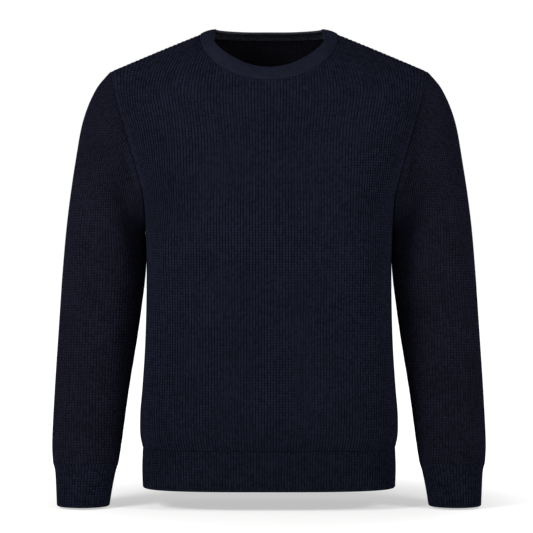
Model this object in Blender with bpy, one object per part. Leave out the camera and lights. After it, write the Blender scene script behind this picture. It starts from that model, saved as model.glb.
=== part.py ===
"""A crew neck pullover in rib knit, filled out as on a wearer.

Metres, +Z up, the front faces -Y. The origin is the neck point: midway between the two places where the
neckband crosses the shoulder seams. Each cut piece is a cloth wall of its own, and pieces that are sewn
together stand a seam gap apart. Front and back lie on one torso form, the sleeves start at its armholes, and
the bands continue the edges that they are sewn to. Left and right are the wearer's, so left is +X.
"""

import bpy
import bmesh
import numpy as np

# Cloth
CLOTH = 0.0025
BAND_CLOTH = 0.0028
SEAM_GAP = 0.0003
FINE_STEP = 1e-4

# Neck and shoulders
NECK_HALF_WIDTH = 0.104
NECK_HEIGHT = -0.0005
SHOULDER_SLOPE = 0.43
RIDGE_ROUNDING = 0.045
RIDGE_PLACE = 0.005
FRONT_NECK_DROP = 0.0745
BACK_NECK_DROP = 0.001
# How the chest and the upper back fall away to the shoulder ridge: low down, and near the ridge
FRONT_FALL = (2.0, 1.5)
BACK_FALL = (2.2, 2.6)

# Levels of the body
HEM_HEIGHT = -0.678
HEM_SEAM = -0.6185
ARMPIT = -0.288
SHOULDER_POINT = 0.2375

# Ribs of half a panel: below the armpits, between the armholes, and the shares of these on the neckline
HALF_RIBS = 60
ARMHOLE_RIBS = 51
FRONT_NECK_SHARE = 30 / ARMHOLE_RIBS
BACK_NECK_SHARE = 23 / ARMHOLE_RIBS
# Shares of the way up a panel from armpit to shoulder: the armhole takes its ribs in the first, the chest goes
# from round to flat in the second, and above the third the ribs lean in towards the neck
ARMHOLE_ROUNDING = 0.16
CHEST_ROUNDING = 0.6
CHEST_FLATTENING = 0.75
LEAN_START = 0.70
LEAN_POWER = 1.3
# The larger this is, the fewer of the outermost columns follow the armhole's own edge as they lean
EDGE_PULL = 4

# Ribs raised in the bands
HEM_RIBS = 240
CUFF_RIBS = 50
RIB_RELIEF = 0.0009

# Neckband
NECK_MIDDLE = 0.0
BAND_WIDTH = 0.0255
BAND_BULGE = 0.0020
BAND_PROUD = 0.0004
BAND_THICKNESS = 0.0034

# Folds die away over this share of a panel, and over this many rings of a sleeve. Along its own length a fold
# is full within the first of the last two shares from its middle, and gone at the second.
FOLD_MARGIN = 0.22
FOLD_FADE = 0.7
FOLD_FULL = 1 / 6
FOLD_GONE = 5 / 6

# A sleeve stands a little off its armhole, which shapes its first rings. Its edge there is as square as the
# body's from the shoulder round to the first of these angles, and its own from the second one on.
SLEEVE_GAP = 0.0004
ARMHOLE_REACH = 3.2
SHARED_EDGE = (0.8, 2.2)

# Grids of the outer faces: a sleeve's columns start at the rows of the two panels' armhole edges
NECK_COLUMNS = 10
SHOULDER_COLUMNS = 9
PANEL_LOW_ROWS = 10
PANEL_HIGH_ROWS = 16
SLEEVE_COLUMNS = 2 * PANEL_HIGH_ROWS
SLEEVE_ROWS = 28
HEM_ROWS = 1
CUFF_ROWS = 3
SHARP_EDGE = 0.9

KNIT_COLOUR = (0.0080, 0.0092, 0.0180, 1.0)
BAND_COLOUR = (0.0105, 0.0118, 0.0225, 1.0)


def table(names, *rows):
    """A short table with named columns, a row for each section or fold."""
    return dict(zip(names.split(), np.array(rows, float).T))


TORSO = table(
    "height half_width front_depth back_depth squareness",
    (-0.6185, 0.1885, 0.0985, 0.0920, 3.2),
    (-0.6050, 0.1915, 0.1045, 0.0985, 3.1),
    (-0.5750, 0.1925, 0.1095, 0.1030, 3.0),
    (-0.5300, 0.1890, 0.1130, 0.1040, 3.0),
    (-0.4700, 0.1850, 0.1165, 0.1030, 3.0),
    (-0.4000, 0.1830, 0.1200, 0.1040, 3.0),
    (-0.3400, 0.1828, 0.1222, 0.1065, 3.0),
    (-0.2880, 0.1845, 0.1230, 0.1080, 3.0),
)

HEM = table(
    "height half_width front_depth back_depth squareness",
    (-0.6780, 0.1885, 0.0950, 0.0900, 3.2),
    (-0.6500, 0.1895, 0.0960, 0.0905, 3.2),
    (-0.6185, 0.1885, 0.0975, 0.0910, 3.2),
)

# The armhole, from the armpit up to the shoulder point, and the width that the rounded chest would have there
ARMHOLE = table(
    "height half_width spread",
    (-0.2880, 0.1845, 0.1845),
    (-0.2700, 0.1842, 0.1872),
    (-0.2510, 0.1855, 0.1912),
    (-0.1920, 0.2003, 0.2083),
    (-0.1210, 0.2215, 0.2335),
    (-0.0960, 0.2285, 0.2425),
    (-0.0557, 0.2375, 0.2570),
)

# Rings of the sleeve: the outer line, the underarm line, the place of the middle and half the depth
SLEEVE = table(
    "ring outer_x outer_z under_x under_z middle depth",
    (0.0, 0.2375, -0.0565, 0.1858, -0.2875, 0.005, 0.0575),
    (1.0, 0.2605, -0.0850, 0.1864, -0.2930, 0.006, 0.0590),
    (2.0, 0.2792, -0.1300, 0.1865, -0.2990, 0.008, 0.0600),
    (3.0, 0.2915, -0.1960, 0.1864, -0.3070, 0.009, 0.0605),
    (4.0, 0.3035, -0.2800, 0.1862, -0.3240, 0.010, 0.0605),
    (5.0, 0.3105, -0.3600, 0.1872, -0.3640, 0.010, 0.0590),
    (6.0, 0.3160, -0.4440, 0.1965, -0.4440, 0.008, 0.0560),
    (7.0, 0.3210, -0.5340, 0.2105, -0.5340, -0.001, 0.0520),
    (8.0, 0.3235, -0.6080, 0.2198, -0.6080, -0.013, 0.0480),
    (9.0, 0.3220, -0.6400, 0.2243, -0.6400, -0.018, 0.0440),
)

CUFF = table(
    "ring outer_x outer_z under_x under_z middle depth",
    (0.0, 0.3220, -0.6400, 0.2243, -0.6400, -0.018, 0.0440),
    (1.0, 0.3185, -0.6530, 0.2285, -0.6530, -0.020, 0.0385),
    (2.0, 0.3165, -0.6780, 0.2335, -0.6780, -0.024, 0.0370),
    (3.0, 0.3150, -0.7040, 0.2375, -0.7040, -0.028, 0.0350),
)

# How steeply the neckband rises from the neckline, by the angle round the neck from the front
BAND_LEAN = table(
    "turn lean",
    (0.0, 0.87),
    (0.55, 1.00),
    (0.85, 1.19),
    (1.1, 1.20),
    (1.34, 0.55),
    (1.6, 0.42),
    (2.3, 0.33),
    (np.pi, 0.35),
)

# The neckband's wall up its width: bulge, how far its outer face is set in, and its thickness, as shares
BAND_PROFILE = table(
    "share bulge inset thickness",
    (0.00, 0.0, 0.00, 1.0),
    (0.30, 0.8, 0.00, 1.0),
    (0.70, 0.8, 0.00, 1.0),
    (0.93, 0.3, 0.08, 0.84),
    (1.00, 0.0, 0.32, 0.36),
)

# Soft folds, seen from the front: face is -1 for the front and 1 for the back
TORSO_FOLDS = table(
    "face start_x start_z end_x end_z half_width height",
    (-1, -0.146, -0.300, -0.168, -0.456, 0.011, 0.0042),
    (-1, -0.168, -0.456, -0.178, -0.590, 0.010, 0.0036),
    (-1, 0.158, -0.400, 0.168, -0.570, 0.014, 0.0026),
    (-1, -0.170, -0.230, -0.110, -0.330, 0.018, -0.0030),
    (-1, 0.168, -0.235, 0.115, -0.320, 0.018, -0.0026),
    (-1, -0.100, -0.565, 0.060, -0.585, 0.018, 0.0014),
    (1, -0.165, -0.240, -0.080, -0.340, 0.022, -0.0022),
    (1, 0.160, -0.230, 0.085, -0.350, 0.022, -0.0020),
    (1, -0.120, -0.520, 0.100, -0.505, 0.024, 0.0022),
    (1, -0.090, -0.440, 0.120, -0.455, 0.026, -0.0020),
)

SLEEVE_FOLDS = table(
    "side face start_x start_z end_x end_z half_width height",
    (-1, -1, 0.285, -0.215, 0.286, -0.350, 0.012, 0.0050),
    (-1, -1, 0.302, -0.200, 0.304, -0.330, 0.012, -0.0022),
    (-1, -1, 0.230, -0.175, 0.194, -0.335, 0.014, -0.0042),
    (-1, -1, 0.208, -0.170, 0.199, -0.235, 0.012, -0.0055),
    (-1, -1, 0.274, -0.350, 0.236, -0.428, 0.012, -0.0055),
    (-1, -1, 0.262, -0.392, 0.222, -0.470, 0.014, 0.0034),
    (-1, -1, 0.300, -0.500, 0.262, -0.560, 0.016, -0.0030),
    (1, -1, 0.230, -0.180, 0.198, -0.330, 0.014, -0.0042),
    (1, -1, 0.208, -0.170, 0.199, -0.235, 0.012, -0.0055),
    (1, -1, 0.282, -0.225, 0.276, -0.330, 0.014, 0.0030),
    (1, -1, 0.262, -0.350, 0.212, -0.410, 0.014, -0.0045),
    (1, -1, 0.290, -0.420, 0.240, -0.490, 0.016, 0.0030),
    (1, -1, 0.296, -0.540, 0.250, -0.590, 0.016, -0.0026),
    (-1, 1, 0.240, -0.180, 0.205, -0.310, 0.016, -0.0040),
    (-1, 1, 0.285, -0.330, 0.225, -0.390, 0.018, -0.0035),
    (-1, 1, 0.290, -0.410, 0.225, -0.450, 0.018, 0.0025),
    (1, 1, 0.238, -0.185, 0.206, -0.320, 0.016, -0.0040),
    (1, 1, 0.290, -0.350, 0.220, -0.400, 0.018, -0.0035),
    (1, 1, 0.288, -0.440, 0.230, -0.480, 0.018, 0.0022),
)


def read(rows, name, at):
    """The named column at a place in the first column, on a smooth curve through the rows."""
    places, values = next(iter(rows.values())), rows[name]
    slopes = np.gradient(values, places)
    at = np.clip(at, places[0], places[-1])
    i = np.clip(np.searchsorted(places, at, side="right") - 1, 0, len(places) - 2)
    span = places[i + 1] - places[i]
    t = (at - places[i]) / span
    start = (1 + 2 * t) * (1 - t) ** 2 * values[i] + t * (1 - t) ** 2 * span * slopes[i]
    end = t * t * (3 - 2 * t) * values[i + 1] + t * t * (t - 1) * span * slopes[i + 1]
    return start + end


def ease(t):
    t = np.clip(t, 0, 1)
    return t * t * (3 - 2 * t)


def section_width(half_width, depth, squareness, share):
    """The distance from the middle, at a share of the way round from the middle to the side."""
    angle = np.linspace(0, np.pi / 2, 1500)
    x = half_width * np.sin(angle) ** (2 / squareness)
    y = depth * np.cos(angle) ** (2 / squareness)
    length = np.concatenate([[0], np.cumsum(np.hypot(np.diff(x), np.diff(y)))])
    at = np.interp(share * length[-1], length, angle)
    return half_width * np.sin(at) ** (2 / squareness)


def section_depth(x, half_width, squareness):
    """How far a section reaches forward at x, as a share of its depth in the middle."""
    return np.clip(1 - (x / half_width) ** squareness, 0, 1) ** (1 / squareness)


def round_section(rows, face, across, height):
    """Points of the torso below the armpits: across runs from -1 at one side seam to 1 at the other."""
    depth_name = "front_depth" if face < 0 else "back_depth"
    half_width, depth = read(rows, "half_width", height), read(rows, depth_name, height)
    squareness = read(rows, "squareness", height)
    x = section_width(half_width, depth, squareness, np.abs(across))
    y = RIDGE_PLACE + face * (SEAM_GAP / 2 + depth * section_depth(x, half_width, squareness))
    return np.stack([np.sign(across) * x, y, np.full_like(x, height)], axis=-1)


def ridge_height(x):
    """The shoulder ridge seen from the front. Inside the neckline it only shapes the cloth round the neck."""
    run = np.hypot(x, RIDGE_ROUNDING) - np.hypot(NECK_HALF_WIDTH, RIDGE_ROUNDING)
    return NECK_HEIGHT - SHOULDER_SLOPE * run


def neck_share(face):
    return FRONT_NECK_SHARE if face < 0 else BACK_NECK_SHARE


def top_edge(face, share):
    """(x, z) of a panel's top edge: first the neckline, with its ribs even along the curve, then the seam."""
    drop = FRONT_NECK_DROP if face < 0 else BACK_NECK_DROP
    neck = np.clip(share / neck_share(face), 0, 1)
    shoulder = np.clip((share - neck_share(face)) / (1 - neck_share(face)), 0, 1)
    turn = np.linspace(0, np.pi / 2, 400)
    step = np.hypot(NECK_HALF_WIDTH * np.diff(np.sin(turn)), drop * np.diff(np.cos(turn)))
    length = np.concatenate([[0], np.cumsum(step)])
    turn = np.interp(neck * length[-1], length, turn)
    x = NECK_HALF_WIDTH * np.sin(turn) + (SHOULDER_POINT - NECK_HALF_WIDTH) * shoulder
    z = np.where(neck < 1, NECK_HEIGHT - drop * np.cos(turn), ridge_height(x))
    return x, z


def chest(face, x, z, on_ridge):
    """How far back the chest or the upper back lies, at a place seen from the front."""
    depth = read(TORSO, "front_depth" if face < 0 else "back_depth", ARMPIT)
    low_down, near_ridge = FRONT_FALL if face < 0 else BACK_FALL
    climb = np.clip((z - ARMPIT) / (ridge_height(x) - ARMPIT), 0, 1)
    climb = np.where(on_ridge, 1.0, climb)
    fall = (1 - climb**low_down) ** (1 / near_ridge)
    forward = section_depth(x, read(ARMHOLE, "spread", z), read(TORSO, "squareness", ARMPIT))
    return RIDGE_PLACE + face * (SEAM_GAP / 2 + depth * forward * fall)


def ribs_kept(up):
    """The share of a panel's ribs that the armhole has left at this level."""
    return 1 - (1 - ARMHOLE_RIBS / HALF_RIBS) * ease(up / ARMHOLE_ROUNDING) ** 0.5


def yoke_row(face, across, up):
    """Points of a panel above the armpits: up runs from 0 at the armpits to 1 at the top edge."""
    share = np.abs(across)
    depth = read(TORSO, "front_depth" if face < 0 else "back_depth", ARMPIT)
    section = read(TORSO, "half_width", ARMPIT), depth, read(TORSO, "squareness", ARMPIT)
    round_share = section_width(*section, share * ribs_kept(up)) / section_width(*section, ribs_kept(up))
    top_x, top_z = top_edge(face, share)
    z = ARMPIT + (top_z - ARMPIT) * up
    edge = read(ARMHOLE, "half_width", z)
    x = edge * (round_share + (share - round_share) * CHEST_FLATTENING * ease(up / CHEST_ROUNDING))
    top_x = top_x * (1 + (edge / SHOULDER_POINT - 1) * share**EDGE_PULL)
    x = x + (top_x - x) * np.clip((up - LEAN_START) / (1 - LEAN_START), 0, 1) ** LEAN_POWER
    y = chest(face, x, z, (up >= 1) & (share >= neck_share(face)))
    return np.stack([np.sign(across) * x, y, z], axis=-1)


def panel_row(face, across, row):
    """row runs from 0 at the hem seam to 1 at the armpits and 2 at the top edge."""
    if row <= 1:
        return round_section(TORSO, face, across, HEM_SEAM + (ARMPIT - HEM_SEAM) * row)
    return yoke_row(face, across, row - 1)


def unit(vectors):
    return vectors / np.linalg.norm(vectors, axis=-1, keepdims=True)


def tube_normals(points):
    """Unit normals of rings of points, each closed round its columns."""
    run = np.roll(points, -1, axis=1) - np.roll(points, 1, axis=1)
    return unit(np.cross(run, np.gradient(points, axis=0)))


def panel_normals(face, across, row):
    """Outward normals of the torso form, which has no kink where a panel's edge turns a corner."""
    right, left = np.minimum(across + FINE_STEP, 1), np.maximum(across - FINE_STEP, -1)
    low, high = (row - FINE_STEP, row) if 1 - FINE_STEP < row <= 1 else (row - FINE_STEP, row + FINE_STEP)
    run = panel_row(face, right, row) - panel_row(face, left, row)
    rise = panel_row(face, across, min(high, 2)) - panel_row(face, across, max(low, 0))
    return unit(-face * np.cross(run, rise))


def fold_height(rows, chosen, x, z):
    """The sum of the soft folds at places seen from the front."""
    height = np.zeros_like(x)
    for i in np.flatnonzero(chosen):
        start = np.array([rows["start_x"][i], rows["start_z"][i]])
        way = np.array([rows["end_x"][i], rows["end_z"][i]]) - start
        along = ((x - start[0]) * way[0] + (z - start[1]) * way[1]) / (way @ way)
        aside = ((x - start[0]) * way[1] - (z - start[1]) * way[0]) / np.hypot(*way)
        fade = ease((FOLD_GONE - np.abs(along - 0.5)) / (FOLD_GONE - FOLD_FULL))
        height += rows["height"][i] * np.exp(-((aside / rows["half_width"][i]) ** 2)) * fade
    return height


def panel_columns(face):
    """Places of a panel's columns from side to side. The back's are closer at the ends of its neckline."""
    neck = np.linspace(0, 1, NECK_COLUMNS + 1)
    if face > 0:
        neck = np.sin(neck * np.pi / 2)
    shoulder = np.linspace(neck_share(face), 1, SHOULDER_COLUMNS + 1)
    half = np.concatenate([neck * neck_share(face), shoulder[1:]])
    return np.concatenate([-half[:0:-1], half])


def panel(face):
    """Outer points of the front (-1) or back (1) panel, and the normals that its wall is built along."""
    across = panel_columns(face)
    low = np.linspace(0, 1, PANEL_LOW_ROWS + 1)[:-1]
    # Closest at the armpit and at the shoulder, as the columns of a sleeve are at its ring's two ends
    high = (1 - np.cos(np.linspace(0, np.pi, PANEL_HIGH_ROWS + 1))) / 2
    rows = np.concatenate([low, 1 + high])
    points = np.array([panel_row(face, across, row) for row in rows])
    normals = np.array([panel_normals(face, across, row) for row in rows])
    chosen = TORSO_FOLDS["face"] == face
    height = fold_height(TORSO_FOLDS, chosen, points[..., 0], points[..., 2])
    # Folds die away before every seam
    height *= ease((1 - np.abs(across)) / FOLD_MARGIN)[None, :]
    height *= (ease(rows / FOLD_MARGIN) * ease((2 - rows) / FOLD_MARGIN))[:, None]
    points = points + normals * height[..., None]
    # Cloth ends square to the side seams, the shoulder seams and the hem seam
    normals[: PANEL_LOW_ROWS + 1, [0, -1], 1] = 0
    on_ridge = np.abs(across) >= neck_share(face) - FINE_STEP
    x = points[-1, on_ridge, 0]
    slope = SHOULDER_SLOPE * x / np.hypot(x, RIDGE_ROUNDING)
    normals[-1, on_ridge] = np.stack([slope, 0 * x, 1 + 0 * x], axis=1)
    normals[0, :, 2] = 0
    return points, unit(normals)


def ring_line(rows, at):
    """(x, z) of a ring's middle, and from there to its outer line."""
    outer = np.array([read(rows, "outer_x", at), read(rows, "outer_z", at)])
    under = np.array([read(rows, "under_x", at), read(rows, "under_z", at)])
    return (outer + under) / 2, (outer - under) / 2


def ring_angles(rows, at, columns):
    """Angles that space the columns evenly round a ring, from its outer line forward and round."""
    angle = np.linspace(0, 2 * np.pi, 1441)
    width, depth = np.hypot(*ring_line(rows, at)[1]), read(rows, "depth", at)
    step = np.hypot(width * np.diff(np.cos(angle)), depth * np.diff(np.sin(angle)))
    length = np.concatenate([[0], np.cumsum(step)])
    return np.interp(np.arange(columns) / columns * length[-1], length, angle)


def ring(rows, side, at, angles):
    """Points of one ring of a sleeve or cuff."""
    middle, half = ring_line(rows, at)
    x = middle[0] + half[0] * np.cos(angles)
    z = middle[1] + half[1] * np.cos(angles)
    y = read(rows, "middle", at) - read(rows, "depth", at) * np.sin(angles)
    return np.stack([side * x, y, z], axis=-1)


def loop_of(front, back, side):
    """The panels' armhole edges as one loop: from the shoulder point down the front and up the back."""
    column = -1 if side > 0 else 0
    down, up = front[PANEL_LOW_ROWS:, column][::-1], back[PANEL_LOW_ROWS:, column]
    shoulder, armpit = (down[0] + up[-1]) / 2, (down[-1] + up[0]) / 2
    return np.array([shoulder, *down[1:-1], armpit, *up[1:-1]])


def sleeve(side, front, back):
    """Outer points of a sleeve and the normals that its wall is built along, from armhole to cuff seam."""
    turns = np.linspace(0, 2 * np.pi, SLEEVE_COLUMNS + 1)[:-1]
    stations = np.linspace(0, SLEEVE["ring"][-1], SLEEVE_ROWS + 1)
    gap = np.array([side * SLEEVE_GAP, 0, 0])
    armhole = loop_of(front[0], back[0], side) + gap
    pull = armhole - ring(SLEEVE, side, 0, turns)
    points = []
    for station in stations:
        spaced = ease(station / ARMHOLE_REACH)
        even = ring_angles(SLEEVE, station, SLEEVE_COLUMNS)
        angles = turns + (even - turns) * spaced
        points.append(ring(SLEEVE, side, station, angles) + pull * (1 - spaced))
    points = np.array(points)
    normals = side * tube_normals(points)
    face = np.where(np.sin(turns) >= 0, -1, 1)
    fade = ease(stations / FOLD_FADE) * ease((stations[-1] - stations) / FOLD_FADE)
    for half in (-1, 1):
        chosen = (SLEEVE_FOLDS["side"] == side) & (SLEEVE_FOLDS["face"] == half)
        height = fold_height(SLEEVE_FOLDS, chosen, np.abs(points[..., 0]), points[..., 2])
        facing = np.clip(half * normals[..., 1] * 2, 0, 1) * (face == half)
        points = points + normals * (height * facing * fade[:, None])[..., None]
    away = np.minimum(turns, 2 * np.pi - turns)
    shared = 1 - ease((away - SHARED_EDGE[0]) / (SHARED_EDGE[1] - SHARED_EDGE[0]))
    torso = loop_of(front[1], back[1], side)
    normals[0] = torso * shared[:, None] + normals[0] * (1 - shared)[:, None]
    normals[-1, :, 2] = 0
    return points, unit(normals)


def neckline(front, back):
    """The panels' neck edges as one loop, from the right shoulder round the front and the back."""
    ends = slice(SHOULDER_COLUMNS, -SHOULDER_COLUMNS)
    ahead, behind = front[-1, ends], back[-1, ends][::-1]
    right, left = (ahead[0] + behind[-1]) / 2, (ahead[-1] + behind[0]) / 2
    loop = np.array([right, *ahead[1:-1], left, *behind[1:-1]])
    halves = (loop + np.roll(loop, -1, axis=0)) / 2
    return np.stack([loop, halves], axis=1).reshape(-1, 3)


def neckband(front, back):
    """Outer and inner points of the neckband, from its seam up to its rounded edge."""
    seam, torso = neckline(front[0], back[0]), unit(neckline(front[1], back[1]))
    # Taken over two points each way, so that the band turns evenly
    run = np.roll(seam, -2, axis=0) - np.roll(seam, 2, axis=0)
    inward = unit(np.stack([-run[:, 1], run[:, 0], 0 * run[:, 0]], axis=1))
    turn = np.arctan2(np.abs(seam[:, 0]), NECK_MIDDLE - seam[:, 1])
    lean = read(BAND_LEAN, "lean", turn)[:, None]
    way = inward * np.cos(lean) + np.array([0, 0, 1]) * np.sin(lean)
    face = unit(np.cross(run, way))
    outer, inner = [], []
    for share, bulge, inset, thickness in zip(*BAND_PROFILE.values()):
        middle = seam + way * (SEAM_GAP + BAND_WIDTH * share) + face * BAND_BULGE * bulge
        facing = torso if share == 0 else face
        top = middle + facing * (BAND_PROUD - BAND_THICKNESS * inset)
        outer.append(top)
        inner.append(top - facing * BAND_THICKNESS * thickness)
    return np.array(outer), np.array(inner)


def ribbed(points, normals):
    """Every second column goes down into the groove between two ribs."""
    relief = np.where(np.arange(points.shape[1]) % 2, -RIB_RELIEF, 0.0)
    return points + normals * relief[None, :, None]


def hem():
    """Outer and inner points of the hem's ribbed band."""
    halves = np.linspace(-1, 1, HEM_RIBS + 1)
    heights = np.linspace(HEM_HEIGHT, HEM_SEAM - SEAM_GAP, HEM_ROWS + 1)
    points = []
    for height in heights:
        ahead = round_section(HEM, -1, halves, height)[:-1]
        behind = round_section(HEM, 1, halves[::-1], height)[:-1]
        points.append(np.concatenate([ahead, behind]))
    points = np.array(points)
    normals = tube_normals(points)
    normals[..., 2] = 0
    normals = unit(normals)
    return ribbed(points, normals), points - normals * BAND_CLOTH


def cuff(side):
    """Outer and inner points of a cuff's ribbed band, from the sleeve's edge down."""
    columns = 2 * CUFF_RIBS
    stations = np.linspace(0, CUFF["ring"][-1], CUFF_ROWS + 1)
    rings = [ring(CUFF, side, at, ring_angles(CUFF, at, columns)) for at in stations]
    points = np.array(rings) - np.array([0, 0, SEAM_GAP])
    normals = side * tube_normals(points)
    normals[[0, -1], :, 2] = 0
    normals = unit(normals)
    return ribbed(points, normals), points - normals * BAND_CLOTH


def strip(outer, inner):
    """Faces between two rows of vertices, where the outer row has a whole number of steps to an inner one."""
    step = (len(outer) - 1) // (len(inner) - 1)
    faces = []
    for i in range(len(inner) - 1):
        near, far = inner[i], inner[i + 1]
        edge = outer[i * step : (i + 1) * step + 1]
        turn = (step + 1) // 2
        faces += [(edge[k], edge[k + 1], near) for k in range(turn)]
        faces += [(edge[k], edge[k + 1], far) for k in range(turn, step)]
        faces.append((edge[turn], far, near))
    return faces


def grid_faces(ids):
    return [
        (ids[i, j], ids[i, j + 1], ids[i + 1, j + 1], ids[i + 1, j])
        for i in range(len(ids) - 1)
        for j in range(len(ids[0]) - 1)
    ]


def wall(name, outer, inner, row_step, column_step, closed, colour):
    """A cloth wall between two grids of points. The inner face uses every step-th row and column."""
    inner = inner[::row_step, ::column_step]
    points = np.concatenate([outer.reshape(-1, 3), inner.reshape(-1, 3)])
    out = np.arange(outer.shape[0] * outer.shape[1]).reshape(outer.shape[:2])
    ins = out.size + np.arange(inner.shape[0] * inner.shape[1]).reshape(inner.shape[:2])
    if closed:
        out, ins = np.hstack([out, out[:, :1]]), np.hstack([ins, ins[:, :1]])
    faces = grid_faces(out) + grid_faces(ins)
    faces += strip(out[0], ins[0]) + strip(out[-1], ins[-1])
    if not closed:
        faces += strip(out[:, 0], ins[:, 0]) + strip(out[:, -1], ins[:, -1])
    mesh = bpy.data.meshes.new(name)
    shape = bmesh.new()
    corners = [shape.verts.new(point) for point in points.tolist()]
    for face in faces:
        shape.faces.new([corners[i] for i in face])
    bmesh.ops.triangulate(shape, faces=shape.faces)
    bmesh.ops.recalc_face_normals(shape, faces=shape.faces)
    shape.to_mesh(mesh)
    shape.free()
    mesh.shade_smooth()
    mesh.set_sharp_from_angle(angle=SHARP_EDGE)
    mesh.materials.append(knit_material(name, colour))
    made = bpy.data.objects.new(name, mesh)
    bpy.context.collection.objects.link(made)
    return made


def knit_material(name, colour):
    """Matt navy wool and cotton knit."""
    material = bpy.data.materials.new(name)
    material.use_nodes = True
    shader = material.node_tree.nodes["Principled BSDF"]
    shader.inputs["Base Color"].default_value = colour
    shader.inputs["Roughness"].default_value = 0.9
    shader.inputs["Metallic"].default_value = 0.0
    return material


for old in list(bpy.data.objects):
    bpy.data.objects.remove(old, do_unlink=True)

front, back = panel(-1), panel(1)
for name, (points, normals) in (("front", front), ("back", back)):
    inner = points - normals * CLOTH
    wall(name, points, inner, row_step=2, column_step=1, closed=False, colour=KNIT_COLOUR)
for name, side in (("left", 1), ("right", -1)):
    points, normals = sleeve(side, front, back)
    inner = points - normals * CLOTH
    wall(f"sleeve_{name}", points, inner, row_step=2, column_step=2, closed=True, colour=KNIT_COLOUR)
    wall(f"cuff_{name}", *cuff(side), row_step=1, column_step=2, closed=True, colour=KNIT_COLOUR)
wall("neckband", *neckband(front, back), row_step=2, column_step=1, closed=True, colour=BAND_COLOUR)
wall("hem_rib", *hem(), row_step=1, column_step=4, closed=True, colour=KNIT_COLOUR)
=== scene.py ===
"""Looks of a navy crew neck pullover in a thick cotton rib knit, filled out as on a wearer.

Every knitted piece is a closed cloth wall laid on the same form as its solid. The outer face carries each
rib as real relief, and its stitches as bump, fuzz and a colour with painted shade between them. Metres, +Z
up, the front faces -Y and the wearer's left is +X.
"""

import bmesh
import bpy
import numpy as np
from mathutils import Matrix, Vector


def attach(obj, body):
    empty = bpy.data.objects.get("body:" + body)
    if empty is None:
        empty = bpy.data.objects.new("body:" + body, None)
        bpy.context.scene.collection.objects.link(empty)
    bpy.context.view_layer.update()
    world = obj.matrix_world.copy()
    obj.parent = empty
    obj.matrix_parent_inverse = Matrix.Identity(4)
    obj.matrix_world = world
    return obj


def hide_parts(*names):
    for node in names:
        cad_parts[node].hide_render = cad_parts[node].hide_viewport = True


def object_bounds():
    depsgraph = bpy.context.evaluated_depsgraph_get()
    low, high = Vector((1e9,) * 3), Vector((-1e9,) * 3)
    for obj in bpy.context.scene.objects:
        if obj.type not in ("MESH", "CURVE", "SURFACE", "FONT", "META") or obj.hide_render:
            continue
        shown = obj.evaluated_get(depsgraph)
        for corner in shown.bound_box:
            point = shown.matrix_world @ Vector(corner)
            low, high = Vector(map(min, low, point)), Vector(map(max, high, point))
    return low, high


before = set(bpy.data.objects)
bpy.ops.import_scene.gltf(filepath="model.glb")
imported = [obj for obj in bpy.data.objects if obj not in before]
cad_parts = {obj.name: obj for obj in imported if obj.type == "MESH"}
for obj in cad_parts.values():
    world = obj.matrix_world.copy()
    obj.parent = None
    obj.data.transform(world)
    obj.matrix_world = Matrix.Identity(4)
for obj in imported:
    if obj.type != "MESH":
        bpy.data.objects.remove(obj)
solid_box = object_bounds()
bpy.ops.object.select_all(action="DESELECT")


# ------------------------------------------------------------------------------------------------------
# The studio. A sheet of pale paper, glowing with painted light of its own, lies just under the cuffs, and
# white walls all round send back even, soft light, with two broad lamps in front and one overhead. The
# camera is level, at mid body height.
CAMERA_PLACE = (-0.00375, -3.0, -0.349)
LENS_MM = 135
SENSOR_MM = 36
PAPER_GAP = 0.003
PAPER_SIZE = 60
PAPER = "#C6C6C5"
# The paper's own light grows from the near strength to the far one between these distances from its middle
GLOW_NEAR, GLOW_FAR = 0.50, 1.05
GLOW_START, GLOW_END = 0.20, 0.65
WALLS = "#FFFFFF"
WALL_LIGHT = 0.20
LAMPS = (
    # place, size across, watts
    ((-1.25, -1.15, 0.45), 0.7, 28.5),
    ((1.35, -1.05, 0.45), 0.7, 15.0),
    ((-0.1, -0.3, 2.1), 1.2, 4.0),
)


def colour(text):
    """An sRGB hex value as Blender's linear colour."""
    values = [int(text[i : i + 2], 16) / 255 for i in (1, 3, 5)]
    return (*(v / 12.92 if v <= 0.04045 else ((v + 0.055) / 1.055) ** 2.4 for v in values), 1.0)


def add_node(tree, kind, sockets=(), **settings):
    """Adds a node with its settings. Sockets are (name, value or the output to link)."""
    made = tree.nodes.new(kind)
    for name, value in settings.items():
        setattr(made, name, value)
    for name, value in sockets:
        if isinstance(value, bpy.types.NodeSocket):
            tree.links.new(value, made.inputs[name])
        else:
            made.inputs[name].default_value = value
    return made


def new_tree(name):
    """A new material and its empty node tree."""
    material = bpy.data.materials.new(name)
    material.use_nodes = True
    material.node_tree.nodes.clear()
    return material, material.node_tree


camera_data = bpy.data.cameras.new("camera")
camera_data.lens = LENS_MM
camera_data.sensor_width = SENSOR_MM
camera = bpy.data.objects.new("camera", camera_data)
camera.location = CAMERA_PLACE
camera.rotation_euler = (np.pi / 2, 0, 0)
bpy.context.collection.objects.link(camera)
bpy.context.scene.camera = camera

bpy.ops.mesh.primitive_plane_add(size=PAPER_SIZE, location=(0, 0, solid_box[0][2] - PAPER_GAP))
paper = bpy.context.object
paper.name = "paper"
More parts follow.
